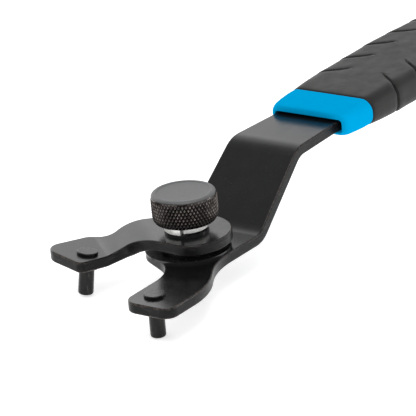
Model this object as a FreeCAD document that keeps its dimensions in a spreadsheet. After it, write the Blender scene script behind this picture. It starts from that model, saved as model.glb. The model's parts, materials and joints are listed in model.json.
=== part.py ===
import FreeCAD, Part
import math
import os
import Sketcher
from FreeCAD import Placement, Rotation, Vector

# Adjustable two-pin spanner with a cranked handle.
#
# Frame: millimetres. The origin is the point where the fixed pin's axis leaves its shoulder, so z = 0
# is the plane in which the shoulders of both pins seat. +X runs along the bar towards the handle,
# +Z points up, away from the pins, and +Y is the side that the swinging arm reaches out to.

DIMENSIONS = {
    # pivot, seen from the fixed pin
    "pivot_x": 40.7,
    "pivot_y": 14.7,
    # cranked bar
    "plate_thick": 4.0,
    "head_radius": 16.3,
    "arm_head_radius": 16.1,
    "edge_radius": 0.5,
    "lower_bend_x": 21.8,
    "upper_bend_x": 50.8,
    "crank_rise": 22.6,
    "bend_inner": 8.0,
    "collar_bar_half": 13.6,
    "collar_bar_x": 77.0,
    "tang_half": 10.0,
    "tang_start_x": 96.0,
    "tang_end_x": 170.0,
    "tang_end_gap": 0.5,
    "tang_shoulder": 6.0,
    "tang_hole_radius": 3.0,
    "tang_hole_near_x": 115.0,
    "tang_hole_far_x": 150.0,
    # fixed jaw
    "jaw_end": 49.5,
    "jaw_outer": 27.3,
    "jaw_inner": 6.9,
    "jaw_inner_corner": 5.5,
    "jaw_outer_corner": 4.5,
    "neck_start": 6.7,
    "neck_start_radius": 10.0,
    "neck_end": 19.1,
    "neck_end_radius": 18.0,
    "jaw_sweep_near": 3.0,
    "jaw_sweep_far": 35.0,
    # swinging arm, in its own frame: along the arm and to its far side
    "arm_angle": 152.0,
    "arm_end": 44.4,
    "arm_outer": 28.7,
    "arm_outer_corner": 7.0,
    "arm_near_along": 38.8,
    "arm_near_side": 8.4,
    "arm_near_corner": 2.2,
    "arm_hip_along": 11.5,
    "arm_hip_side": 22.2,
    "arm_shoulder_along": 23.0,
    "arm_shoulder_side": 33.9,
    "arm_neck_along": 20.4,
    "arm_neck_side": 13.8,
    "arm_root_along": 7.3,
    "arm_root_side": -15.9,
    "arm_pin_along": 31.8,
    "arm_pin_side": 17.1,
    "arm_bend_inner": 10.0,
    "arm_drop": 6.2,
    "joggle_start": 16.4,
    "joggle_end": 24.5,
    "joggle_skew": 12.0,
    "tip_lift": 8.0,
    # pins
    "pin_radius": 2.8,
    "pin_length": 10.1,
    "pin_end_round": 0.9,
    "pin_head_radius": 3.85,
    "pin_head_height": 1.05,
    "pin_shoulder_radius": 4.5,
    "pin_shoulder_height": 1.1,
    # stack on the stud
    "stud_radius": 4.0,
    "stud_press_radius": 5.0,
    "stud_head_radius": 8.0,
    "stud_head_height": 2.0,
    "stud_top": 24.4,
    "friction_radius": 15.5,
    "friction_thick": 0.8,
    "spacer_radius": 9.5,
    "spacer_thick": 1.95,
    "flat_radius": 8.0,
    "flat_thick": 0.9,
    "lock_radius": 7.9,
    "lock_thick": 2.3,
    "lock_offset": 0.75,
    "lock_gap": 9.0,
    "lock_gap_angle": -156.0,
    "axial_gap": 0.05,
    "bore_radius": 4.06,
    "washer_bore": 4.2,
    # thumb knob
    "knob_radius": 12.0,
    "knob_foot_radius": 10.9,
    "knob_rim_radius": 11.0,
    "knob_height": 10.95,
    "knob_bore_depth": 9.0,
    # handle
    "handle_shift": -1.5,
    "handle_mid": 27.0,
    "mouth_x": 78.0,
    "joint_x": 93.0,
    "mouth_half": 16.2,
    "mouth_height": 4.5,
    "joint_half": 18.8,
    "joint_height": 5.4,
    "slot_shift": -1.0,
    "slot_half": 14.7,
    "slot_height": 4.9,
    "slot_end_x": 90.0,
    "shoulder_end_x": 98.0,
    "core_half": 13.5,
    "core_height": 3.6,
    "core_end_x": 184.0,
    "grip_half": 19.3,
    "grip_height": 6.1,
    "grip_swell_x": 108.0,
    "grip_end_x": 206.0,
    "grip_corner": 4.9,
    "hang_hole_radius": 4.0,
    "hang_hole_x": 196.0,
}

doc = FreeCAD.newDocument("two_pin_spanner")
sheet = doc.addObject("Spreadsheet::Sheet", "dims")
for row, (alias, value) in enumerate(DIMENSIONS.items(), start=1):
    sheet.set("A%d" % row, alias)
    sheet.set("B%d" % row, str(value))
    sheet.setAlias("B%d" % row, alias)
doc.recompute()


def size(alias):
    """Read one dimension back from the sheet."""
    return float(sheet.get(alias))


def new_body(label):
    body = doc.addObject("PartDesign::Body", label)
    body.Label = label
    return body


def new_sketch(body, name, role, offset=None):
    """Make a sketch on one of the body's own origin planes."""
    sketch = body.newObject("Sketcher::SketchObject", name)
    plane = [item for item in body.Origin.OriginFeatures if item.Role == role][0]
    sketch.AttachmentSupport = [(plane, "")]
    sketch.MapMode = "FlatFace"
    if offset is not None:
        sketch.AttachmentOffset = offset
    return sketch


def add_circle(sketch, alias, centre_x=0.0, centre_y=0.0):
    """Add a circle whose radius is bound to the sheet."""
    circle = Part.Circle(Vector(centre_x, centre_y, 0), Vector(0, 0, 1), size(alias))
    index = sketch.addGeometry(circle)
    number = sketch.addConstraint(Sketcher.Constraint("Radius", index, size(alias)))
    name = "radius_%d" % index
    sketch.renameConstraint(number, name)
    sketch.setExpression("Constraints." + name, "dims." + alias)


def add_outline(sketch, corners):
    """Draw a closed outline of (x, y, corner radius), with an arc where the radius isn't zero."""
    count = len(corners)
    pieces = []
    for i in range(count):
        before = Vector(corners[i - 1][0], corners[i - 1][1], 0)
        here = Vector(corners[i][0], corners[i][1], 0)
        after = Vector(corners[(i + 1) % count][0], corners[(i + 1) % count][1], 0)
        radius = corners[i][2]
        if radius == 0:
            pieces.append((here, here, None))
            continue
        back = (before - here).normalize()
        ahead = (after - here).normalize()
        half = back.getAngle(ahead) / 2
        reach = radius / math.tan(half)
        centre = here + (back + ahead).normalize() * (radius / math.sin(half))
        middle = centre + (here - centre).normalize() * radius
        pieces.append((here + back * reach, here + ahead * reach, middle))
    for i in range(count):
        start, end, middle = pieces[i]
        if middle is not None:
            sketch.addGeometry(Part.Arc(start, middle, end))
        following = pieces[(i + 1) % count][0]
        if end.distanceToPoint(following) > 0.001:
            sketch.addGeometry(Part.LineSegment(end, following))


def add_box_outline(sketch, low_x, low_y, high_x, high_y, radius=0.0):
    add_outline(sketch, [
        (low_x, low_y, radius),
        (high_x, low_y, radius),
        (high_x, high_y, radius),
        (low_x, high_y, radius),
    ])


def cut_both_ways(body, name, sketch, reach=300.0):
    """Cut the sketch through everything on both sides of its plane."""
    pocket = body.newObject("PartDesign::Pocket", name)
    pocket.Profile = sketch
    pocket.Type = "Length"
    pocket.Length = reach
    pocket.Midplane = True
    doc.recompute()
    return pocket


def turned_body(label, outline):
    """A body of revolution about Z from an (x, z, corner radius) outline."""
    body = new_body(label)
    sketch = new_sketch(body, label + "_profile", "XZ_Plane")
    add_outline(sketch, outline)
    turn = body.newObject("PartDesign::Revolution", label + "_turn")
    turn.Profile = sketch
    turn.ReferenceAxis = (sketch, ["V_Axis"])
    turn.Angle = 360.0
    doc.recompute()
    return body


def washer_body(label, radius_alias, thick_alias):
    """A flat washer that stands on its own XY plane."""
    body = new_body(label)
    sketch = new_sketch(body, label + "_ring", "XY_Plane")
    add_circle(sketch, radius_alias)
    add_circle(sketch, "washer_bore")
    pad = body.newObject("PartDesign::Pad", label + "_plate")
    pad.Profile = sketch
    pad.setExpression("Length", "dims." + thick_alias)
    doc.recompute()
    return body


def soften_rims(body, name, radius_alias, keep):
    """Round the long edges between the broad faces and the rim, leaving those that keep() picks."""
    base = body.Tip
    shape = base.Shape
    names = []
    for number, edge in enumerate(shape.Edges, start=1):
        faces = shape.ancestorsOfType(edge, Part.Face)
        middle = edge.valueAt((edge.FirstParameter + edge.LastParameter) / 2)
        normals = [face.normalAt(*face.Surface.parameter(middle)) for face in faces]
        if len(normals) == 2 and abs(normals[0].dot(normals[1])) < 0.35 and not keep(edge, middle):
            names.append("Edge%d" % number)
    fillet = body.newObject("PartDesign::Fillet", name)
    fillet.Base = (base, names)
    fillet.setExpression("Radius", "dims." + radius_alias)
    doc.recompute()
    return fillet


def is_upright(edge):
    """True for a straight edge that stands across the plate's thickness."""
    if edge.Curve.TypeId != "Part::GeomLine":
        return False
    return abs(edge.Curve.Direction.z) > 0.7


def at_pivot(height):
    return Placement(Vector(size("pivot_x"), size("pivot_y"), height), Rotation())


# Heights of the stack, from the shoulder plane upwards.
bar_under = size("pin_shoulder_height")
bar_top = bar_under + size("plate_thick")
spacer_seat = bar_top + size("friction_thick")
arm_under = spacer_seat + size("spacer_thick") + size("axial_gap")
arm_top = arm_under + size("plate_thick")
lock_seat = arm_top + size("flat_thick") + size("axial_gap")
knob_foot = lock_seat + size("lock_thick") + size("lock_offset") + size("axial_gap")
handle_top = bar_top + size("crank_rise")


def bent_strip(points, thickness, bend_inner):
    """Outline of a strip bent from the (x, z) points of its top line."""
    top = []
    under = []
    for i, (x, z) in enumerate(points):
        if i == 0 or i == len(points) - 1:
            top.append((x, z, 0))
            neighbour = points[1] if i == 0 else points[-2]
            lean = math.atan2(z - neighbour[1], x - neighbour[0])
            if i == 0:
                lean += math.pi
            under.append((x + thickness * math.sin(lean), z - thickness * math.cos(lean), 0))
            continue
        lean_in = math.atan2(z - points[i - 1][1], x - points[i - 1][0])
        lean_out = math.atan2(points[i + 1][1] - z, points[i + 1][0] - x)
        half = (lean_in + lean_out) / 2
        spread = thickness / math.cos((lean_out - lean_in) / 2)
        rises = lean_out > lean_in
        top.append((x, z, bend_inner if rises else bend_inner + thickness))
        under.append((x + spread * math.sin(half), z - spread * math.cos(half),
                      bend_inner + thickness if rises else bend_inner))
    return top + under[::-1]


def around(radius, from_deg, to_deg, steps):
    """Corners that carry an arc about the origin from one angle to another."""
    step = math.radians(to_deg - from_deg) / steps
    reach = radius / math.cos(step / 2)
    angles = [math.radians(from_deg) + step * (i + 0.5) for i in range(steps)]
    return [(reach * math.cos(angle), reach * math.sin(angle), radius) for angle in angles]


def jaw_corners():
    """Corners of the fixed jaw, from the far side of the head round the tip to its near side."""
    head = size("head_radius")
    run = size("jaw_sweep_near") + size("jaw_sweep_far")
    offset = size("jaw_outer") - head
    sweep = (run * run + offset * offset) / (4 * offset)
    reach = sweep * offset / run
    return [
        (-size("neck_start"), head, size("neck_start_radius")),
        (-size("neck_end"), -size("jaw_inner"), size("neck_end_radius")),
        (-size("jaw_end"), -size("jaw_inner"), size("jaw_inner_corner")),
        (-size("jaw_end"), -size("jaw_outer"), size("jaw_outer_corner")),
        (-size("jaw_sweep_far") + reach, -size("jaw_outer"), sweep * 0.98),
        (size("jaw_sweep_near") - reach, -head, sweep * 0.98),
    ]


# ---- cranked bar: fixed jaw, head, crank, handle section and tang in one piece ----
main_bar = new_body("main_bar")
bar_side = new_sketch(main_bar, "bar_side", "XZ_Plane")
bar_line = [
    (-size("jaw_end") - 10, bar_top),
    (size("lower_bend_x"), bar_top),
    (size("upper_bend_x"), handle_top),
    (size("tang_end_x"), handle_top),
]
add_outline(bar_side, bent_strip(bar_line, size("plate_thick"), size("bend_inner")))
bar_strip = main_bar.newObject("PartDesign::Pad", "bar_strip")
bar_strip.Profile = bar_side
bar_strip.Length = 80.0
bar_strip.Midplane = True
doc.recompute()

bar_plan = new_sketch(main_bar, "bar_plan", "XY_Plane")
shoulder_x = size("tang_start_x") - size("tang_shoulder")
tang_tip_x = size("tang_end_x") - size("tang_end_gap")
bar_near_side = [
    (size("lower_bend_x"), -size("head_radius"), 60.0),
    (size("collar_bar_x"), -size("collar_bar_half"), 20.0),
    (shoulder_x, -size("collar_bar_half"), 2.0),
    (size("tang_start_x"), -size("tang_half"), 2.0),
    (tang_tip_x, -size("tang_half"), 4.0),
]
bar_far_side = [(x, -y, radius) for x, y, radius in reversed(bar_near_side)]
bar_outline = bar_near_side + bar_far_side + jaw_corners()
add_box_outline(bar_plan, -90.0, -60.0, 200.0, 60.0)
add_outline(bar_plan, bar_outline)
cut_both_ways(main_bar, "bar_plan_cut", bar_plan)

bar_holes = new_sketch(main_bar, "bar_holes", "XY_Plane")
add_circle(bar_holes, "stud_press_radius")
add_circle(bar_holes, "pin_radius", -size("pivot_x"), -size("pivot_y"))
add_circle(bar_holes, "tang_hole_radius", size("tang_hole_near_x"))
add_circle(bar_holes, "tang_hole_radius", size("tang_hole_far_x"))
cut_both_ways(main_bar, "bar_hole_cut", bar_holes)


def keep_on_bar(edge, middle):
    """Leave the holes, the plain tang end and edges that stand upright sharp."""
    hidden = middle.x > shoulder_x - 2
    is_round = edge.Curve.TypeId == "Part::GeomCircle" and edge.isClosed()
    round_hole = is_round and edge.Curve.Radius < size("stud_press_radius") + 0.5
    return hidden or round_hole or is_upright(edge)


soften_rims(main_bar, "bar_soft_edges", "edge_radius", keep_on_bar)
main_bar.Placement = at_pivot(0.0)

# ---- swinging arm: joggled so that its tip comes down to the fixed jaw's level ----
# Its own frame has +X along the arm and -Y towards its outer side.
skew = math.radians(size("joggle_skew"))
lift = math.radians(size("tip_lift"))
pin_station = size("arm_pin_along") * math.cos(skew) + size("arm_pin_side") * math.sin(skew)
tip_level = arm_top - size("arm_drop")
crease_level = tip_level - (pin_station - size("joggle_end")) * math.tan(lift)
end_station = size("arm_end") + 12

swing_arm = new_body("swing_arm")
arm_side = new_sketch(swing_arm, "arm_side", "XZ_Plane",
                      Placement(Vector(0, 0, 0), Rotation(Vector(0, 1, 0), -size("joggle_skew"))))
arm_line = [
    (-30.0, arm_top),
    (size("joggle_start"), arm_top),
    (size("joggle_end"), crease_level),
    (end_station, crease_level + (end_station - size("joggle_end")) * math.tan(lift)),
]
add_outline(arm_side, bent_strip(arm_line, size("plate_thick"), size("arm_bend_inner")))
arm_strip = swing_arm.newObject("PartDesign::Pad", "arm_strip")
arm_strip.Profile = arm_side
arm_strip.Length = 90.0
arm_strip.Midplane = True
doc.recompute()

arm_plan = new_sketch(swing_arm, "arm_plan", "XY_Plane")
arm_side_corners = [
    (size("arm_hip_along"), size("arm_hip_side"), 20.0),
    (size("arm_shoulder_along"), size("arm_shoulder_side"), 5.0),
    (size("arm_end"), size("arm_outer"), size("arm_outer_corner")),
    (size("arm_near_along"), size("arm_near_side"), size("arm_near_corner")),
    (size("arm_neck_along"), size("arm_neck_side"), 5.0),
    (size("arm_root_along"), size("arm_root_side"), 10.0),
]
arm_corners = around(size("arm_head_radius"), -90.0, -248.0, 3) + arm_side_corners
arm_outline = [(along, -side, radius) for along, side, radius in arm_corners]
add_box_outline(arm_plan, -100.0, -100.0, 100.0, 100.0)
add_outline(arm_plan, arm_outline)
cut_both_ways(swing_arm, "arm_plan_cut", arm_plan)

arm_bore = new_sketch(swing_arm, "arm_bore", "XY_Plane")
add_circle(arm_bore, "bore_radius")
cut_both_ways(swing_arm, "arm_bore_cut", arm_bore)

tip_turn = (Rotation(Vector(0, 0, 1), -size("joggle_skew")) * Rotation(Vector(0, 1, 0), -size("tip_lift"))
            * Rotation(Vector(0, 0, 1), size("joggle_skew")))
tip_point = Placement(Vector(size("arm_pin_along"), -size("arm_pin_side"), tip_level), tip_turn)
arm_pin_hole = new_sketch(swing_arm, "arm_pin_hole", "XY_Plane", tip_point)
add_circle(arm_pin_hole, "pin_radius")
cut_both_ways(swing_arm, "arm_pin_hole_cut", arm_pin_hole, 30.0)


def keep_on_arm(edge, middle):
    """Leave the holes and edges that stand upright sharp."""
    round_hole = math.hypot(middle.x, middle.y) < 6
    pin_hole = math.hypot(middle.x - size("arm_pin_along"), middle.y + size("arm_pin_side")) < 4
    return round_hole or pin_hole or is_upright(edge)


soften_rims(swing_arm, "arm_soft_edges", "edge_radius", keep_on_arm)
arm_turn = Rotation(Vector(0, 0, 1), size("arm_angle"))
arm_place = Placement(Vector(size("pivot_x"), size("pivot_y"), 0), arm_turn)
swing_arm.Placement = arm_place

# ---- the two identical pins: riveted head, shank in the plate, shoulder and working pin ----
pin_outline = [
    (0.0, -size("pin_length"), 0),
    (size("pin_radius"), -size("pin_length"), size("pin_end_round")),
    (size("pin_radius"), 0.0, 0),
    (size("pin_shoulder_radius"), 0.0, 0.25),
    (size("pin_shoulder_radius"), bar_under, 0),
    (size("pin_radius"), bar_under, 0),
    (size("pin_radius"), bar_top, 0),
    (size("pin_head_radius"), bar_top, 0),
    (size("pin_head_radius"), bar_top + size("pin_head_height"), 0.35),
    (0.0, bar_top + size("pin_head_height"), 0),
]
fixed_pin = turned_body("fixed_pin", pin_outline)
swing_pin = turned_body("swing_pin", pin_outline)
swing_pin.Placement = arm_place * tip_point * Placement(Vector(0, 0, -bar_top), Rotation())

# ---- pivot stud, pressed into the bar from below ----
stud_outline = [
    (0.0, bar_under - size("stud_head_height"), 0),
    (size("stud_head_radius"), bar_under - size("stud_head_height"), 1.2),
    (size("stud_head_radius"), bar_under, 0),
    (size("stud_press_radius"), bar_under, 0),
    (size("stud_press_radius"), bar_top, 0),
    (size("stud_radius"), bar_top, 0),
    (size("stud_radius"), size("stud_top"), 0.9),
    (0.0, size("stud_top"), 0),
]
pivot_stud = turned_body("pivot_stud", stud_outline)
pivot_stud.Placement = at_pivot(0.0)

# ---- washers ----
friction_washer = washer_body("friction_washer", "friction_radius", "friction_thick")
friction_washer.Placement = at_pivot(bar_top)
spacer_washer = washer_body("spacer_washer", "spacer_radius", "spacer_thick")
spacer_washer.Placement = at_pivot(spacer_seat)
flat_washer = washer_body("flat_washer", "flat_radius", "flat_thick")
flat_washer.Placement = at_pivot(arm_top)

# ---- split lock washer: a square section carried once round a left-hand helix ----
lock_washer = new_body("lock_washer")
lock_section = new_sketch(lock_washer, "lock_section", "XZ_Plane")
add_box_outline(lock_section, size("bore_radius"), 0.0, size("lock_radius"), size("lock_thick"), 0.2)
lock_coil = lock_washer.newObject("PartDesign::AdditiveHelix", "lock_coil")
lock_coil.Profile = lock_section
lock_coil.ReferenceAxis = (lock_section, ["V_Axis"])
lock_coil.Mode = 1
lock_turns = (360.0 - size("lock_gap")) / 360.0
lock_coil.Pitch = size("lock_offset") / lock_turns
lock_coil.Turns = lock_turns
lock_coil.LeftHanded = True
doc.recompute()
lock_start = Rotation(Vector(0, 0, 1), size("lock_gap_angle") - size("lock_gap") / 2)
lock_washer.Placement = Placement(Vector(size("pivot_x"), size("pivot_y"), lock_seat), lock_start)

# ---- thumb knob ----
knob_top = knob_foot + size("knob_height")
knob_outline = [
    (size("bore_radius"), knob_foot, 0.4),
    (size("knob_foot_radius"), knob_foot, 0.5),
    (size("knob_radius"), knob_foot + 2.2, 1.6),
    (size("knob_radius"), knob_top - 0.4, 1.2),
    (size("knob_rim_radius"), knob_top, 0.7),
    (0.0, knob_top, 0),
    (0.0, knob_foot + size("knob_bore_depth"), 0),
    (size("bore_radius"), knob_foot + size("knob_bore_depth"), 0),
]
thumb_knob = turned_body("thumb_knob", knob_outline)
thumb_knob.Placement = at_pivot(0.0)

# ---- handle core: blue collar at the mouth, narrower core under the rubber ----
handle_middle = size("handle_shift") + size("pivot_y")


def section_sketch(body, name, station, half, height, corner, mid=size("handle_mid")):
    """A rounded rectangle across the handle; the sketch's x is the part's Y and its y is Z."""
    sketch = new_sketch(body, name, "YZ_Plane", Placement(Vector(0, 0, station), Rotation()))
    add_box_outline(sketch, handle_middle - half, mid - height, handle_middle + half, mid + height, corner)
    return sketch


def loft_through(body, name, sketches):
    loft = body.newObject("PartDesign::AdditiveLoft", name)
    loft.Profile = sketches[0]
    loft.Sections = sketches[1:]
    loft.Ruled = True
    doc.recompute()
    return loft


def along(station):
    """Distance from the origin of a station that is counted from the pivot."""
    return station + size("pivot_x")


def cut_socket(body, name, middle_y, half, low_z, high_z, end_alias, corner=0.0):
    """Cut a pocket from the mouth back to a station named in the sheet."""
    start = along(size("mouth_x")) - 1
    sketch = new_sketch(body, name + "_section", "YZ_Plane", Placement(Vector(0, 0, start), Rotation()))
    add_box_outline(sketch, middle_y - half, low_z, middle_y + half, high_z, corner)
    pocket = body.newObject("PartDesign::Pocket", name)
    pocket.Profile = sketch
    pocket.Reversed = True
    pocket.setExpression("Length", "dims.%s - dims.mouth_x + 1" % end_alias)
    doc.recompute()


handle_core = new_body("handle_core")
collar_stations = [
    (size("mouth_x"), size("mouth_half"), size("mouth_height"), 3.9),
    (size("mouth_x") + 3, size("mouth_half") + 1.3, size("mouth_height") + 0.45, 4.2),
    (size("mouth_x") + 8, size("joint_half") - 0.6, size("joint_height") - 0.15, 4.6),
    (size("joint_x"), size("joint_half"), size("joint_height"), 4.9),
]
collar_sections = [section_sketch(handle_core, "collar_section_%d" % i, along(station), half, height, corner)
                   for i, (station, half, height, corner) in enumerate(collar_stations)]
loft_through(handle_core, "collar", collar_sections)
bar_mid = handle_top - size("plate_thick") / 2
core_section = section_sketch(handle_core, "core_section", along(size("joint_x")), size("core_half"),
                              size("core_height"), 3.0, bar_mid)
core_pad = handle_core.newObject("PartDesign::Pad", "core")
core_pad.Profile = core_section
core_pad.setExpression("Length", "dims.core_end_x - dims.joint_x")
doc.recompute()
slot_low = handle_top - size("plate_thick")
cut_socket(handle_core, "slot", size("pivot_y") + size("slot_shift"), size("slot_half"), slot_low,
           slot_low + size("slot_height"), "slot_end_x", 1.2)
cut_socket(handle_core, "tang_socket", size("pivot_y"), size("tang_half"), slot_low, handle_top, "tang_end_x")
cut_socket(handle_core, "shoulder_socket", size("pivot_y"), size("collar_bar_half"), slot_low, handle_top,
           "shoulder_end_x")

# ---- rubber grip: moulded over the core, swelling behind the collar and rounded at its end ----
rubber_grip = new_body("rubber_grip")
end_x = size("grip_end_x")
grip_stations = [
    (size("joint_x"), size("joint_half"), size("joint_height")),
    (size("joint_x") + 7, size("joint_half") + 0.3, size("joint_height") + 0.4),
    (size("grip_swell_x"), size("grip_half"), size("grip_height")),
    (size("grip_swell_x") + 42, size("grip_half") + 0.4, size("grip_height") + 0.5),
    (end_x - 28, size("grip_half") - 0.2, size("grip_height")),
    (end_x, size("grip_half") - 2.2, size("grip_height") - 0.9),
]
grip_sections = [section_sketch(rubber_grip, "grip_section_%d" % i, along(station), half, height,
                                size("grip_corner"))
                 for i, (station, half, height) in enumerate(grip_stations)]
grip_loft = loft_through(rubber_grip, "grip_skin", grip_sections)
end_sketch = new_sketch(rubber_grip, "end_plan", "XY_Plane")
end_half = size("grip_half") + 2.9
before_grip = along(size("joint_x")) - 10
add_box_outline(end_sketch, before_grip - 10, handle_middle - 60, along(end_x) + 30, handle_middle + 60)
add_outline(end_sketch, [
    (before_grip, handle_middle - end_half, 0),
    (along(end_x), handle_middle - end_half, end_half - 1),
    (along(end_x), handle_middle + end_half, end_half - 1),
    (before_grip, handle_middle + end_half, 0),
])
cut_both_ways(rubber_grip, "end_round", end_sketch)
hang_sketch = new_sketch(rubber_grip, "hang_hole", "XY_Plane")
add_circle(hang_sketch, "hang_hole_radius", along(size("hang_hole_x")), handle_middle)
cut_both_ways(rubber_grip, "hang_hole_cut", hang_sketch)
core_room = section_sketch(rubber_grip, "core_room", along(size("joint_x")) - 1, size("core_half"),
                           size("core_height"), 3.0, bar_mid)
core_cut = rubber_grip.newObject("PartDesign::Pocket", "core_socket")
core_cut.Profile = core_room
core_cut.Reversed = True
core_cut.setExpression("Length", "dims.core_end_x - dims.joint_x + 1")
doc.recompute()

# ---- checks and export ----
SUB_PARTS = [main_bar, swing_arm, fixed_pin, swing_pin, pivot_stud, friction_washer, spacer_washer,
             flat_washer, lock_washer, thumb_knob, handle_core, rubber_grip]
doc.recompute()
for item in doc.Objects:
    if "Invalid" in item.State or "Error" in item.State:
        raise RuntimeError("%s did not build: %s" % (item.Label, item.State))
os.makedirs("parts", exist_ok=True)
for body in SUB_PARTS:
    shape = body.Shape
    if shape.isNull() or not shape.isValid() or len(shape.Solids) != 1:
        raise RuntimeError("%s is not one valid solid" % body.Label)
    box = shape.BoundBox
    print("%-16s %9.1f mm3  x %7.2f %7.2f  y %7.2f %7.2f  z %7.2f %7.2f" % (
        body.Label, shape.Volume, box.XMin, box.XMax, box.YMin, box.YMax, box.ZMin, box.ZMax))
    shape.exportStep("parts/%s.step" % body.Label)
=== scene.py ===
import json
import math

import bmesh
import bpy
from mathutils import Matrix, Vector


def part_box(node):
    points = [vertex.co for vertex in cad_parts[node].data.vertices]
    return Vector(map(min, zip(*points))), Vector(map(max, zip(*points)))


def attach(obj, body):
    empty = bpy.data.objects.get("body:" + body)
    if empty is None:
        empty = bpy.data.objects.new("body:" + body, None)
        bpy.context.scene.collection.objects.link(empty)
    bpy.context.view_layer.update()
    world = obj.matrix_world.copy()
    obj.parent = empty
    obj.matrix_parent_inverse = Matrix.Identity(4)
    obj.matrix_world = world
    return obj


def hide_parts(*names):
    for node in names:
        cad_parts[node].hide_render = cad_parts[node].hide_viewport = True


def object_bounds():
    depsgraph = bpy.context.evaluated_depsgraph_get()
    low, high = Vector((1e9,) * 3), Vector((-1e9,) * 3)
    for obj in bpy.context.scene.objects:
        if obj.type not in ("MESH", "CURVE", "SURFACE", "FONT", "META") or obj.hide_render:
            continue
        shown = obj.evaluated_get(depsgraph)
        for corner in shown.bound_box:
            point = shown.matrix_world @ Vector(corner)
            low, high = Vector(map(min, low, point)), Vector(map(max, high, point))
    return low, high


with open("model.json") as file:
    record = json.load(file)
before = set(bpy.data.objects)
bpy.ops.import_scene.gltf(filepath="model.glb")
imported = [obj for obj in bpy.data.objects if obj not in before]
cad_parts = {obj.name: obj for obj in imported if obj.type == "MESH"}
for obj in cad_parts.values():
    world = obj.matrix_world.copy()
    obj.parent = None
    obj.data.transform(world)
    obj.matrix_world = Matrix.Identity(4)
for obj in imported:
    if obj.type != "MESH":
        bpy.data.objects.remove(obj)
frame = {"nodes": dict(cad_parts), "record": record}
CAD_LOW, CAD_HIGH = [list(corner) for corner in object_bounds()]
MM = 0.001

# ---------------------------------------------------------------- places read from the frame
ROOT = "handle_and_fixed_jaw"
KNOB_LOW, KNOB_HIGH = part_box("thumb_knob")
PIVOT = Vector(((KNOB_LOW.x + KNOB_HIGH.x) / 2, (KNOB_LOW.y + KNOB_HIGH.y) / 2, 0))
KNOB_RADIUS = (KNOB_HIGH.x - KNOB_LOW.x) / 2
FLOOR_Z = min(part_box("fixed_pin")[0].z, CAD_LOW[2])
HALF_PLATE = 2 * MM
BAR_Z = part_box("main_bar")[1].z - HALF_PLATE
GRIP_LOW, GRIP_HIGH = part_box("rubber_grip")
HANDLE_Y = (GRIP_LOW.y + GRIP_HIGH.y) / 2
HANDLE_Z = (GRIP_LOW.z + GRIP_HIGH.z) / 2
JOINT_X = GRIP_LOW.x
MOUNT_PLACES = {mount["name"]: Vector(mount["pos_m"]) for mount in frame["record"]["mounts"]}
HANG_HOLE = MOUNT_PLACES["hang_hole"]


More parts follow.
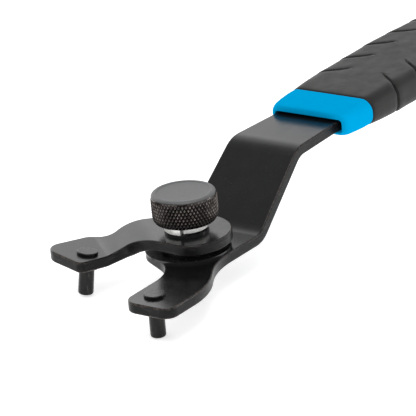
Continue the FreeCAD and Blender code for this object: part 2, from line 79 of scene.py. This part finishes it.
# ---------------------------------------------------------------- node material helpers
class Mat:
    """A procedural material under construction, in object coordinates measured in metres."""

    def __init__(self, name):
        self.material = bpy.data.materials.new(name)
        self.material.use_nodes = True
        self.tree = self.material.node_tree
        self.tree.nodes.clear()
        self.out = self.add("ShaderNodeOutputMaterial")
        self.bsdf = self.add("ShaderNodeBsdfPrincipled")
        self.link(self.bsdf.outputs[0], self.out.inputs[0])
        self.coords = self.add("ShaderNodeTexCoord").outputs["Object"]

    def add(self, kind, **settings):
        node = self.tree.nodes.new(kind)
        for key, value in settings.items():
            setattr(node, key, value)
        return node

    def link(self, source, target):
        self.tree.links.new(source, target)

    def set(self, **values):
        """Give the shader's inputs plain values or other nodes' outputs."""
        for key, value in values.items():
            socket = self.bsdf.inputs[key.replace("_", " ")]
            if isinstance(value, bpy.types.NodeSocket):
                self.link(value, socket)
            else:
                socket.default_value = value

    def noise(self, size, detail=2.0, rough=0.5, stretch=(1, 1, 1)):
        """Noise with features about size metres across, finer along an axis with more stretch."""
        mapping = self.add("ShaderNodeMapping")
        mapping.inputs["Scale"].default_value = [s / size for s in stretch]
        self.link(self.coords, mapping.inputs["Vector"])
        node = self.add("ShaderNodeTexNoise")
        node.inputs["Scale"].default_value = 1.0
        node.inputs["Detail"].default_value = detail
        node.inputs["Roughness"].default_value = rough
        self.link(mapping.outputs[0], node.inputs["Vector"])
        return node.outputs["Fac"]

    def ramp(self, value, stops):
        """Colours between (position, colour) stops."""
        node = self.add("ShaderNodeValToRGB")
        elements = node.color_ramp.elements
        while len(elements) < len(stops):
            elements.new(0.5)
        for element, (position, colour) in zip(elements, stops):
            element.position = position
            element.color = (*colour, 1)
        self.link(value, node.inputs[0])
        return node.outputs[0]

    def span(self, value, low, high, from_low=0.0, from_high=1.0):
        """Map from_low..from_high onto low..high, and hold it there outside."""
        node = self.add("ShaderNodeMapRange")
        node.inputs["From Min"].default_value = from_low
        node.inputs["From Max"].default_value = from_high
        node.inputs["To Min"].default_value = low
        node.inputs["To Max"].default_value = high
        self.link(value, node.inputs["Value"])
        return node.outputs[0]

    def math(self, operation, a, b=None):
        """Arithmetic on outputs or plain numbers."""
        node = self.add("ShaderNodeMath", operation=operation)
        for index, value in enumerate((a, b)):
            if value is None:
                continue
            if isinstance(value, (int, float)):
                node.inputs[index].default_value = value
            else:
                self.link(value, node.inputs[index])
        return node.outputs[0]

    def mix(self, factor, a, b):
        """Blend from colour a to colour b."""
        node = self.add("ShaderNodeMix", data_type="RGBA")
        for name, value in (("Factor", factor), ("A", a), ("B", b)):
            socket = [s for s in node.inputs if s.name == name and s.enabled][0]
            if isinstance(value, tuple):
                socket.default_value = (*value, 1)
            else:
                self.link(value, socket)
        return [s for s in node.outputs if s.enabled][0]

    def edges(self, radius):
        """A mask that is 1 on edges, where the normal differs from one rounded over the radius."""
        bevel = self.add("ShaderNodeBevel", samples=4)
        bevel.inputs["Radius"].default_value = radius
        geometry = self.add("ShaderNodeNewGeometry")
        dot = self.add("ShaderNodeVectorMath", operation="DOT_PRODUCT")
        self.link(bevel.outputs[0], dot.inputs[0])
        self.link(geometry.outputs["Normal"], dot.inputs[1])
        return self.span(dot.outputs["Value"], 1.0, 0.0, 0.75, 0.995)

    def part(self, vector, axis):
        """One component of a vector."""
        split = self.add("ShaderNodeSeparateXYZ")
        self.link(vector, split.inputs[0])
        return split.outputs[axis]

    def place(self, axis):
        """Object coordinate along one axis, in metres."""
        return self.part(self.coords, axis)

    def flatness(self):
        """1 on level faces and 0 on upright ones."""
        normal = self.add("ShaderNodeNewGeometry").outputs["Normal"]
        return self.math("ABSOLUTE", self.part(normal, "Z"))

    def bump(self, *layers):
        """Chain bump layers of (height, strength, distance in metres)."""
        previous = None
        for height, strength, distance in layers:
            node = self.add("ShaderNodeBump")
            node.inputs["Strength"].default_value = strength
            node.inputs["Distance"].default_value = distance
            self.link(height, node.inputs["Height"])
            if previous is not None:
                self.link(previous, node.inputs["Normal"])
            previous = node.outputs[0]
        self.link(previous, self.bsdf.inputs["Normal"])


def black_coating():
    """Glossy black coating on pressed steel, duller on the sheared rims and worn brown at the edges."""
    m = Mat("black_coated_steel")
    base = m.mix(m.noise(0.018, 4, 0.6), (0.0028, 0.0030, 0.0033), (0.0058, 0.0060, 0.0064))
    speckle = m.span(m.noise(0.0012, 5, 0.75), 0, 1, 0.60, 0.66)
    base = m.mix(m.math("MULTIPLY", speckle, 0.35), base, (0.030, 0.030, 0.031))
    rim = m.span(m.flatness(), 1.0, 0.0, 0.15, 0.5)
    tears = m.span(m.noise(0.0035, 5, 0.7, (0.5, 0.5, 3.0)), 0, 1, 0.52, 0.68)
    base = m.mix(m.math("MULTIPLY", rim, tears), base, (0.022, 0.020, 0.019))
    jaw = m.span(m.place("X"), 1.0, 0.0, 0.006, 0.020)
    worn = m.math("MULTIPLY", m.edges(0.0009), m.span(m.noise(0.0012, 5, 0.8), 0, 1, 0.46, 0.55))
    worn = m.math("MULTIPLY", worn, m.span(jaw, 0.35, 1.0))
    gloss = m.span(m.noise(0.007, 5, 0.65), 0.17, 0.27, 0.3, 0.7)
    m.set(Base_Color=m.mix(worn, base, (0.42, 0.30, 0.24)),
          Metallic=m.math("MULTIPLY", worn, 0.5),
          Roughness=m.math("ADD", gloss, m.span(rim, 0.0, 0.10)),
          Specular_IOR_Level=m.span(rim, 0.29, 0.13))
    m.bump((m.noise(0.0009, 3, 0.6), 0.12, 0.00003), (m.noise(0.0045, 3, 0.5), 0.10, 0.00012))
    return m.material


def turned_steel(name, dark, light, rough, metal=1.0):
    """Machined steel with fine marks round its axis and slight tone changes."""
    m = Mat(name)
    m.set(Base_Color=m.mix(m.noise(0.0022, 4, 0.6), dark, light), Metallic=metal,
          Roughness=m.span(m.noise(0.0016, 4, 0.6), rough * 0.75, rough * 1.3, 0.3, 0.7))
    m.bump((m.noise(0.0006, 2, 0.5, (0.25, 0.25, 2.5)), 0.16, 0.00003),
           (m.noise(0.0012, 3, 0.6), 0.10, 0.00004))
    return m.material


def pin_steel():
    """Black oxide on a turned pin, with painted highlight streaks down its shank, and a plain head."""
    m = Mat("black_oxide_pin")
    # Noise stretched along the pin, which places the painted highlight streaks on the shank.
    highlight_streaks = m.noise(0.0011, 4, 0.7, (1, 1, 0.12))
    shank = m.span(m.flatness(), 1.0, 0.0, 0.35, 0.75)
    # The darker stops are the oxide's own tone; the brightest stop paints highlight streaks down the
    # shank.
    shank_tone_and_highlight = m.ramp(highlight_streaks, [(0.35, (0.003, 0.003, 0.003)), (0.60, (0.012, 0.0115, 0.011)),
                             (0.74, (0.09, 0.085, 0.08))])
    top = m.mix(m.noise(0.0014, 4, 0.65), (0.006, 0.006, 0.006), (0.012, 0.012, 0.012))
    m.set(Base_Color=m.mix(shank, top, shank_tone_and_highlight), Metallic=m.span(shank, 0.1, 0.5),
          Roughness=m.span(m.noise(0.0013, 4, 0.6), 0.20, 0.32, 0.3, 0.7), Specular_IOR_Level=0.35)
    m.bump((m.noise(0.0010, 3, 0.6), 0.10, 0.00003))
    return m.material


def knurled_steel():
    """Black oxide rubbed brown and bright on the knurl's points, matt grey on the turned top."""
    m = Mat("black_oxide_knurl")
    across = m.math("SUBTRACT", m.place("X"), PIVOT.x)
    over = m.math("SUBTRACT", m.place("Y"), PIVOT.y)
    square = m.math("ADD", m.math("MULTIPLY", across, across), m.math("MULTIPLY", over, over))
    reach = m.math("SQRT", square)
    point = m.span(reach, 0, 1, KNOB_RADIUS - 0.00045, KNOB_RADIUS - 0.00006)
    patch = m.span(m.noise(0.0022, 5, 0.8), 0.05, 1.0, 0.38, 0.62)
    rubbed = m.math("MULTIPLY", point, patch)
    face = m.span(m.place("Z"), 0, 1, KNOB_HIGH.z - 0.0009, KNOB_HIGH.z - 0.0004)
    dark = m.mix(m.noise(0.0016, 3, 0.6), (0.010, 0.009, 0.0085), (0.024, 0.021, 0.020))
    side = m.mix(rubbed, dark, (0.30, 0.265, 0.24))
    top = m.mix(m.noise(0.0014, 4, 0.65), (0.075, 0.077, 0.079), (0.105, 0.107, 0.109))
    grain = m.span(m.noise(0.0011, 3), -0.05, 0.05)
    m.set(Base_Color=m.mix(face, side, top), Metallic=m.span(face, 0.90, 0.15),
          Roughness=m.math("ADD", m.span(face, 0.20, 0.50), grain))
    m.bump((m.noise(0.0004, 3, 0.6), 0.20, 0.00003))
    return m.material


def bright_zinc():
    """Bright, slightly cloudy zinc plating."""
    m = Mat("bright_zinc")
    m.set(Base_Color=m.mix(m.noise(0.0022, 4, 0.6), (0.84, 0.84, 0.81), (0.97, 0.97, 0.94)),
          Metallic=0.35,
          Roughness=m.span(m.noise(0.0012, 4, 0.6), 0.14, 0.30, 0.3, 0.7))
    m.bump((m.noise(0.0008, 3, 0.6, (0.3, 0.3, 2.0)), 0.14, 0.00003))
    return m.material


def moulded_blue():
    """Saturated blue plastic with a fine satin grain."""
    m = Mat("blue_plastic")
    m.set(Base_Color=m.mix(m.noise(0.012, 3, 0.6), (0.0, 0.300, 0.600), (0.0, 0.322, 0.632)),
          Roughness=m.span(m.noise(0.004, 4, 0.6), 0.62, 0.74, 0.3, 0.7), Specular_IOR_Level=0.0)
    m.bump((m.noise(0.0007, 3, 0.6), 0.10, 0.00003))
    return m.material


def moulded_rubber():
    """Dusty black rubber: matt, fine pores, faint grey bloom."""
    m = Mat("black_rubber")
    bloom = m.noise(0.02, 5, 0.6)
    base = m.mix(bloom, (0.013, 0.0125, 0.012), (0.021, 0.0205, 0.020))
    specks = m.span(m.noise(0.0011, 4, 0.8), 0, 1, 0.68, 0.74)
    m.set(Base_Color=m.mix(m.math("MULTIPLY", specks, 0.4), base, (0.10, 0.10, 0.10)),
          Roughness=m.span(m.noise(0.005, 4, 0.6), 0.42, 0.54, 0.3, 0.7), Specular_IOR_Level=0.18)
    m.bump((m.noise(0.0006, 4, 0.7), 0.16, 0.00004), (m.noise(0.005, 3, 0.5), 0.08, 0.00015))
    return m.material


MATERIALS = {
    "black_coated_steel": black_coating(),
    "black_oxide_pin": pin_steel(),
    "zinc_steel": turned_steel("zinc_steel", (0.42, 0.42, 0.43), (0.58, 0.58, 0.59), 0.28),
    "black_washer": turned_steel("black_washer", (0.006, 0.006, 0.007), (0.013, 0.013, 0.014), 0.22,
                                 metal=0.0),
    "bright_zinc": bright_zinc(),
    "black_oxide_knurl": knurled_steel(),
    "blue_plastic": moulded_blue(),
    "black_rubber": moulded_rubber(),
}
for entry in frame["record"]["subparts"]:
    node = frame["nodes"][entry["node"]]
    node.data.materials.clear()
    node.data.materials.append(MATERIALS[entry["material_slot"]])


# ---------------------------------------------------------------- pieces that replace CAD nodes
def new_piece(name, mesh_data, body, nodes, slot, smooth_angle):
    """Turn a finished bmesh into a piece that rides with a body and replaces CAD nodes."""
    mesh = bpy.data.meshes.new(name)
    bmesh.ops.remove_doubles(mesh_data, verts=mesh_data.verts, dist=1e-7)
    bmesh.ops.recalc_face_normals(mesh_data, faces=mesh_data.faces)
    for face in mesh_data.faces:
        face.smooth = True
    for edge in mesh_data.edges:
        edge.smooth = len(edge.link_faces) == 2 and edge.calc_face_angle(0) < smooth_angle
    mesh_data.to_mesh(mesh)
    mesh_data.free()
    piece = bpy.data.objects.new(name, mesh)
    bpy.context.collection.objects.link(piece)
    mesh.materials.append(MATERIALS[slot])
    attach(piece, body)
    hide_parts(*nodes)
    return piece


def bridge(bm, lower, upper):
    """Quads between two rings of the same length."""
    count = len(lower)
    for i in range(count):
        j = (i + 1) % count
        bm.faces.new((lower[i], lower[j], upper[j], upper[i]))


def ring(bm, centre, z, radii):
    """A ring of vertices round an upright axis through the centre, one for each radius."""
    turns = [math.tau * i / len(radii) for i in range(len(radii))]
    return [bm.verts.new((centre.x + radius * math.cos(turn), centre.y + radius * math.sin(turn), z))
            for turn, radius in zip(turns, radii)]


def bridge_all(bm, rings):
    """Quads along a whole row of rings."""
    for lower, upper in zip(rings, rings[1:]):
        bridge(bm, lower, upper)


def close_ring(bm, vertices, hub_place):
    """Close a ring with a fan of triangles round one middle vertex."""
    hub = bm.verts.new(hub_place)
    for i, vertex in enumerate(vertices):
        bm.faces.new((vertex, vertices[(i + 1) % len(vertices)], hub))


def between(stops, place):
    """Straight-line values at a place among (place, value, ...) stops."""
    for (x0, *low), (x1, *high) in zip(stops, stops[1:]):
        if place <= x1:
            share = (place - x0) / (x1 - x0)
            return [a + (b - a) * share for a, b in zip(low, high)]
    return list(stops[-1][1:])


def smooth(value, low, high):
    """0 below low, 1 above high and an S curve between."""
    share = min(1.0, max(0.0, (value - low) / (high - low)))
    return share * share * (3 - 2 * share)


# ---------------------------------------------------------------- thumb knob
# Round the knob: two points for each of the knurl's 54 columns.
KNOB_POINTS = 108
KNURL_ROWS = 8
KNURL_DEPTH = 0.56 * MM
KNURL_BLUNT = 0.04 * MM
KNURL_FOOT = 0.25 * MM
KNURL_HEAD = 1.15 * MM
BORE_RADIUS = 4.06 * MM
BORE_DEPTH = 9.0 * MM
DISH_DEPTH = 0.20 * MM
# Share of the knob's height, share of its radius.
KNOB_PROFILE = ((0.0, 0.895), (0.05, 0.935), (0.13, 0.975), (0.24, 0.994), (0.36, 1.0), (0.80, 1.0),
                (0.87, 0.992), (0.93, 0.970), (0.975, 0.938), (1.0, 0.905))
# Depth below the top in mm, share of the radius: the rounded rim, the land and the dish.
KNOB_TOP = ((0.02, 0.885), (0, 0.865), (0, 0.815), (0.05, 0.80), (0.17, 0.785), (0.20, 0.76),
            (0.20, 0.40))


def knob_profile(z):
    """Radius of the knob's outside at a height, before the knurl is cut."""
    share = (z - KNOB_LOW.z) / (KNOB_HIGH.z - KNOB_LOW.z)
    return KNOB_RADIUS * between(KNOB_PROFILE, share)[0]


def knob_ring(bm, z, radius):
    """A plain ring of the knob."""
    return ring(bm, PIVOT, z, [radius] * KNOB_POINTS)


def cut_knurl(bm, bottom, top):
    """Rings whose points stand out and in by turns, so that each diamond is a small pyramid."""
    rings = []
    for row in range(KNURL_ROWS + 1):
        z = bottom + (top - bottom) * row / KNURL_ROWS
        fade = min(1.0, 0.45 + 0.55 * min(row, KNURL_ROWS - row))
        cuts = (KNURL_DEPTH * fade, KNURL_BLUNT)
        radii = [knob_profile(z) - cuts[(i + row) % 2] for i in range(KNOB_POINTS)]
        rings.append(ring(bm, PIVOT, z, radii))
    for row, (lower, upper) in enumerate(zip(rings, rings[1:])):
        for i in range(KNOB_POINTS):
            j = (i + 1) % KNOB_POINTS
            if (i + row) % 2 == 0:
                bm.faces.new((lower[i], lower[j], upper[j]))
                bm.faces.new((lower[i], upper[j], upper[i]))
            else:
                bm.faces.new((lower[i], lower[j], upper[i]))
                bm.faces.new((lower[j], upper[j], upper[i]))
    return rings


def build_knob():
    """Thumb knob with a diamond knurl, a rounded rim, a shallow dish on top and a blind bore."""
    foot, land = KNOB_LOW.z, KNOB_HIGH.z
    bm = bmesh.new()
    knurl = cut_knurl(bm, foot + KNURL_FOOT, land - KNURL_HEAD)
    under = ((foot + BORE_DEPTH, BORE_RADIUS), (foot, BORE_RADIUS), (foot, KNOB_RADIUS * 0.35),
             (foot, KNOB_RADIUS * 0.855), (foot + 0.06 * MM, KNOB_RADIUS * 0.87))
    lower_rings = [knob_ring(bm, z, radius) for z, radius in under]
    lower_rings.append(knurl[0])
    neck = land - 0.95 * MM
    upper_rings = [knurl[-1], knob_ring(bm, neck, knob_profile(neck) - 0.02 * MM)]
    for down in (0.62, 0.36, 0.14):
        upper_rings.append(knob_ring(bm, land - down * MM, knob_profile(land - down * MM)))
    for down, share in KNOB_TOP:
        upper_rings.append(knob_ring(bm, land - down * MM, KNOB_RADIUS * share))
    bridge_all(bm, lower_rings)
    bridge_all(bm, upper_rings)
    close_ring(bm, upper_rings[-1], (PIVOT.x, PIVOT.y, land - DISH_DEPTH))
    close_ring(bm, lower_rings[0], (PIVOT.x, PIVOT.y, foot + BORE_DEPTH))
    new_piece("knurled_knob", bm, "knob", ["thumb_knob"], "black_oxide_knurl", math.radians(24))


# ---------------------------------------------------------------- handle
def rounded_section(x, middle_y, middle_z, half, height, corner):
    """Points of a rounded rectangle across the handle, always the same number in the same order."""
    arc_steps = 8
    corner = min(corner, half - 0.02 * MM, height - 0.02 * MM)
    wide, tall = half - corner, height - corner
    points = []
    for turn, (sign_y, sign_z) in enumerate(((1, 1), (-1, 1), (-1, -1), (1, -1))):
        for i in range(arc_steps + 1):
            angle = math.pi / 2 * (turn + i / arc_steps)
            points.append((sign_y * wide + corner * math.cos(angle),
                           sign_z * tall + corner * math.sin(angle)))
        is_broad = turn % 2 == 0
        steps = 20 if is_broad else 4
        for i in range(1, steps):
            share = 1 - 2 * i / steps
            if is_broad:
                points.append((sign_y * wide * share, sign_z * height))
            else:
                points.append((sign_y * half, sign_z * tall * share))
    return [(x, middle_y + y, middle_z + z) for y, z in points]


def skin_sections(bm, sections):
    """Join sections into a tube and close both its ends."""
    rings = [[bm.verts.new(point) for point in section] for section in sections]
    bridge_all(bm, rings)
    for end in (rings[0], rings[-1]):
        close_ring(bm, end, sum((vertex.co for vertex in end), Vector()) / len(end))


# Sections of the blue core: mm ahead of the rubber's front, half width, half height, corner.
CORE_SECTIONS = ((-91.0, 12.6, 2.9, 2.3), (-90.6, 13.4, 3.5, 2.9), (0.05, 13.5, 3.6, 3.0))
COLLAR_SECTIONS = (
    (0.0, 18.1, 4.7, 4.3), (0.25, 18.7, 5.3, 4.8), (3.7, 18.6, 5.33, 4.8), (7.0, 18.2, 5.25, 4.6),
    (10.0, 17.85, 5.1, 4.4), (12.0, 17.5, 4.95, 4.2), (13.3, 17.15, 4.75, 4.0),
    (14.1, 16.85, 4.52, 3.8), (14.6, 16.5, 4.22, 3.5), (14.88, 16.1, 3.9, 3.2),
    (15.0, 15.75, 3.62, 2.9))
MOUTH_SECTIONS = ((14.93, 14.95, 2.63, 1.4), (14.7, 14.75, 2.48, 1.25), (14.3, 14.7, 2.45, 1.2),
                  (3.0, 14.7, 2.45, 1.2))
SOCKET_SECTIONS = ((3.0, 13.62, 2.02, 0.2), (-4.9, 13.62, 2.02, 0.2), (-4.9, 10.02, 2.02, 0.2),
                   (-77.1, 10.02, 2.02, 0.2))
MOUTH_SHIFT = 1 * MM
MOUTH_RISE = 0.45 * MM


def build_collar():
    """Blue collar with a soft front edge, its core behind it, and the slot that the bar fills."""
    runs = ((CORE_SECTIONS, HANDLE_Y, BAR_Z), (COLLAR_SECTIONS, HANDLE_Y, HANDLE_Z),
            (MOUTH_SECTIONS, PIVOT.y - MOUTH_SHIFT, BAR_Z + MOUTH_RISE),
            (SOCKET_SECTIONS, PIVOT.y, BAR_Z))
    sections = []
    for run, y, z in runs:
        for ahead, half, height, corner in run:
            x = JOINT_X - ahead * MM
            sections.append(rounded_section(x, y, z, half * MM, height * MM, corner * MM))
    bm = bmesh.new()
    skin_sections(bm, sections)
    new_piece("blue_collar", bm, ROOT, ["handle_core"], "blue_plastic", math.radians(35))


# The grip in mm: distance behind its front, half width, half height.
GRIP_STATIONS = ((0.0, 18.8, 5.4), (7.0, 19.1, 5.8), (15.0, 19.3, 6.1), (57.0, 19.7, 6.6),
                 (85.0, 19.1, 6.1), (113.0, 17.1, 5.2))
# Distance behind the front, depth cut into the skin.
GRIP_FRONT = ((0.0, 1.6), (0.45, 1.5), (0.62, 0.55), (0.9, 0.15), (1.5, 0.0), (4.0, 0.0), (7.0, 0.0),
              (10.5, 0.0), (15.0, 0.0))
GRIP_BACK = (101.0, 104.0, 106.5, 108.5, 110.0, 111.2, 112.0, 112.5, 112.85, 113.0)
GROOVES = (25.0, 41.0, 57.0, 73.0, 89.0)
GROOVE_PROFILE = ((-3.0, 0.0), (-1.15, 0.02), (-0.75, 0.22), (-0.35, 0.98), (0.0, 1.15), (0.3, 0.75),
                  (0.62, -0.02), (1.3, -0.16), (3.5, -0.10), (7.0, 0.0))
# Also in mm: the skin's corners, the round back end, the taper before it and the grooves' sweep.
GROOVE_GAP = 10.0
GRIP_CORNER = 4.9
INNER_STEP = 0.5
NOSE_START = 91.8
NOSE_RADIUS = 21.2
TAPER = (106.0, 113.0)
TAPER_LOSS = 0.30
GROOVE_STARTS = (7.5, 9.2)
SWEEP = 8.3
SWEEP_INNER = 7.6
SWEEP_REACH = 10.8
SWEEP_RISE = (2.0, 17.0)
SWEEP_FALL = (93.0, 100.5)


def grip_section(along, depth, is_groove):
    """One section of the grip, cut in by the depth and swept forward towards the edges."""
    half, height = between(GRIP_STATIONS, along)
    nose = 1.0 + math.sqrt(max(0.0, NOSE_RADIUS ** 2 - max(0.0, along - NOSE_START) ** 2))
    half = max(1.0, min(half, nose))
    height *= 1 - TAPER_LOSS * smooth(along, *TAPER) ** 2
    sweep = SWEEP * smooth(along, *SWEEP_RISE) * (1 - smooth(along, *SWEEP_FALL))
    whole = rounded_section(0, 0, 0, half, height, GRIP_CORNER)
    inner = rounded_section(0, 0, 0, half - INNER_STEP, height - INNER_STEP, GRIP_CORNER - INNER_STEP)
    points = []
    for (_, y0, z0), (_, y1, z1) in zip(whole, inner):
        strength = smooth(abs(y0), *GROOVE_STARTS) if is_groove else 1.0
        reach = min(1.0, max(0.0, abs(y0) - SWEEP_INNER) / SWEEP_REACH)
        place = along - sweep * reach ** 0.9
        if along < NOSE_START:
            swept_half, swept_height = between(GRIP_STATIONS, max(0.0, place))
            y0, y1 = y0 * swept_half / half, y1 * swept_half / half
            z0, z1 = z0 * swept_height / height, z1 * swept_height / height
        amount = depth * strength / INNER_STEP
        points.append((JOINT_X + place * MM, HANDLE_Y + (y0 + (y1 - y0) * amount) * MM,
                       HANDLE_Z + (z0 + (z1 - z0) * amount) * MM))
    return points


def build_grip():
    """Rubber grip whose grooves start on the broad faces, sweep forward and cross the sides."""
    sections = [grip_section(along, depth, False) for along, depth in GRIP_FRONT]
    for groove in GROOVES:
        for offset, depth in GROOVE_PROFILE:
            sections.append(grip_section(groove + offset, depth, True))
        sections.append(grip_section(groove + GROOVE_GAP, 0.0, False))
    sections += [grip_section(along, 0.0, False) for along in GRIP_BACK]
    bm = bmesh.new()
    skin_sections(bm, sections)
    piece = new_piece("moulded_grip", bm, ROOT, ["rubber_grip"], "black_rubber", math.radians(50))
    cut_hang_hole(piece)


def cut_hang_hole(piece):
    """Bore the hanging hole through the handle, its mouths flared."""
    points = 48
    flare = ((3.3, 4.0), (4.2, 4.4), (4.9, 5.0), (6.6, 5.6))
    profile = [(-z, radius) for z, radius in reversed(flare)] + list(flare)
    bm = bmesh.new()
    rings = [ring(bm, HANG_HOLE, HANG_HOLE.z + z * MM, [radius * MM] * points)
             for z, radius in profile]
    bridge_all(bm, rings)
    bm.faces.new(list(reversed(rings[0])))
    bm.faces.new(rings[-1])
    bmesh.ops.recalc_face_normals(bm, faces=bm.faces)
    mesh = bpy.data.meshes.new("hang_hole_cutter")
    bm.to_mesh(mesh)
    bm.free()
    cutter = bpy.data.objects.new("hang_hole_cutter", mesh)
    bpy.context.collection.objects.link(cutter)
    boolean = piece.modifiers.new("hang_hole", "BOOLEAN")
    boolean.operation = "DIFFERENCE"
    boolean.solver = "EXACT"
    boolean.object = cutter
    depsgraph = bpy.context.evaluated_depsgraph_get()
    cut_mesh = bpy.data.meshes.new_from_object(piece.evaluated_get(depsgraph))
    piece.modifiers.clear()
    piece.data = cut_mesh
    bpy.data.objects.remove(cutter)


build_knob()
build_collar()
build_grip()


# ---------------------------------------------------------------- camera
def build_camera():
    """Long lens, 21 degrees above the jaws and to one side of the handle, rolled by five degrees."""
    yaw, pitch, roll = math.radians(37.185), math.radians(21.073), math.radians(5.279)
    distance, aim_right, aim_down = 1.24439, -0.006934, 0.014206
    forward = Vector((math.cos(yaw) * math.cos(pitch), math.sin(yaw) * math.cos(pitch),
                      -math.sin(pitch)))
    level = Vector((math.sin(yaw), -math.cos(yaw), 0))
    down = forward.cross(level)
    right = level * math.cos(roll) + down * math.sin(roll)
    under = down * math.cos(roll) - level * math.sin(roll)
    target = Vector((PIVOT.x, PIVOT.y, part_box("friction_washer")[0].z))
    place = target - right * aim_right - under * aim_down - forward * distance
    data = bpy.data.cameras.new("camera")
    data.sensor_width = 36.0
    data.lens = 302.885
    data.clip_start, data.clip_end = 0.01, 50.0
    camera = bpy.data.objects.new("camera", data)
    bpy.context.collection.objects.link(camera)
    turn = Matrix((right, -under, -forward)).transposed().to_4x4()
    camera.matrix_world = Matrix.Translation(place) @ turn
    bpy.context.scene.camera = camera


# ---------------------------------------------------------------- stage
def build_stage():
    """A wide white floor just under the pins, with a glow of its own so that it stays white."""
    half = 4.0
    gap = 0.1 * MM
    mesh = bpy.data.meshes.new("floor")
    corners = [(-half, -half, 0), (half, -half, 0), (half, half, 0), (-half, half, 0)]
    mesh.from_pydata(corners, [], [(0, 1, 2, 3)])
    floor = bpy.data.objects.new("floor", mesh)
    bpy.context.collection.objects.link(floor)
    floor.location = (PIVOT.x, PIVOT.y, FLOOR_Z - gap)
    m = Mat("pale_floor")
    m.set(Base_Color=m.mix(m.noise(0.4, 2), (0.90, 0.90, 0.90), (0.93, 0.93, 0.93)), Roughness=0.9,
          Emission_Color=(1, 1, 1, 1), Emission_Strength=0.55, Specular_IOR_Level=0.0)
    floor.data.materials.append(m.material)


def build_tent():
    """A soft white tent: bright round the horizon and behind the tool, dimmer overhead."""
    world = bpy.data.worlds.new("tent")
    bpy.context.scene.world = world
    world.use_nodes = True
    tree = world.node_tree
    background = tree.nodes["Background"]
    coords = tree.nodes.new("ShaderNodeTexCoord").outputs["Generated"]
    split = tree.nodes.new("ShaderNodeSeparateXYZ")
    tree.links.new(coords, split.inputs[0])
    ramp = tree.nodes.new("ShaderNodeValToRGB")
    ramp.color_ramp.interpolation = "EASE"
    tree.links.new(split.outputs["Z"], ramp.inputs[0])
    stops = ((0.0, 0.9), (0.33, 1.0), (0.62, 0.66), (0.80, 0.56), (1.0, 0.56))
    while len(ramp.color_ramp.elements) < len(stops):
        ramp.color_ramp.elements.new(0.5)
    for element, (position, level) in zip(ramp.color_ramp.elements, stops):
        element.position = position
        element.color = (level, level, level, 1)
    behind = tree.nodes.new("ShaderNodeVectorMath")
    behind.operation = "DOT_PRODUCT"
    behind.inputs[1].default_value = (0.62, 0.78, 0.0)
    tree.links.new(coords, behind.inputs[0])
    boost = tree.nodes.new("ShaderNodeMapRange")
    for name, value in (("From Min", 0.1), ("From Max", 0.9), ("To Min", 1.0), ("To Max", 1.35)):
        boost.inputs[name].default_value = value
    tree.links.new(behind.outputs["Value"], boost.inputs["Value"])
    tree.links.new(ramp.outputs[0], background.inputs[0])
    tree.links.new(boost.outputs[0], background.inputs[1])


# Name, place, size and power of each area light.
LIGHTS = (("back_softbox", (0.75, 1.75, 1.05), (2.4, 1.6), 9.0),
          ("top_softbox", (-0.35, -0.30, 1.2), (0.8, 0.8), 6.5),
          ("side_strip", (0.95, -0.95, 0.36), (0.08, 0.14), 1.8))


def build_lights():
    """Area lights that all face the middle of the tool."""
    centre = Vector((PIVOT.x + 0.05, PIVOT.y, 0.0))
    for name, place, size, power in LIGHTS:
        data = bpy.data.lights.new(name, "AREA")
        data.shape = "RECTANGLE"
        data.size, data.size_y = size
        data.energy = power
        light = bpy.data.objects.new(name, data)
        bpy.context.collection.objects.link(light)
        light.location = place
        light.rotation_mode = "QUATERNION"
        light.rotation_quaternion = (centre - Vector(place)).to_track_quat("-Z", "Y")


bpy.context.scene.view_settings.view_transform = "Standard"
build_camera()
build_stage()
build_tent()
build_lights()
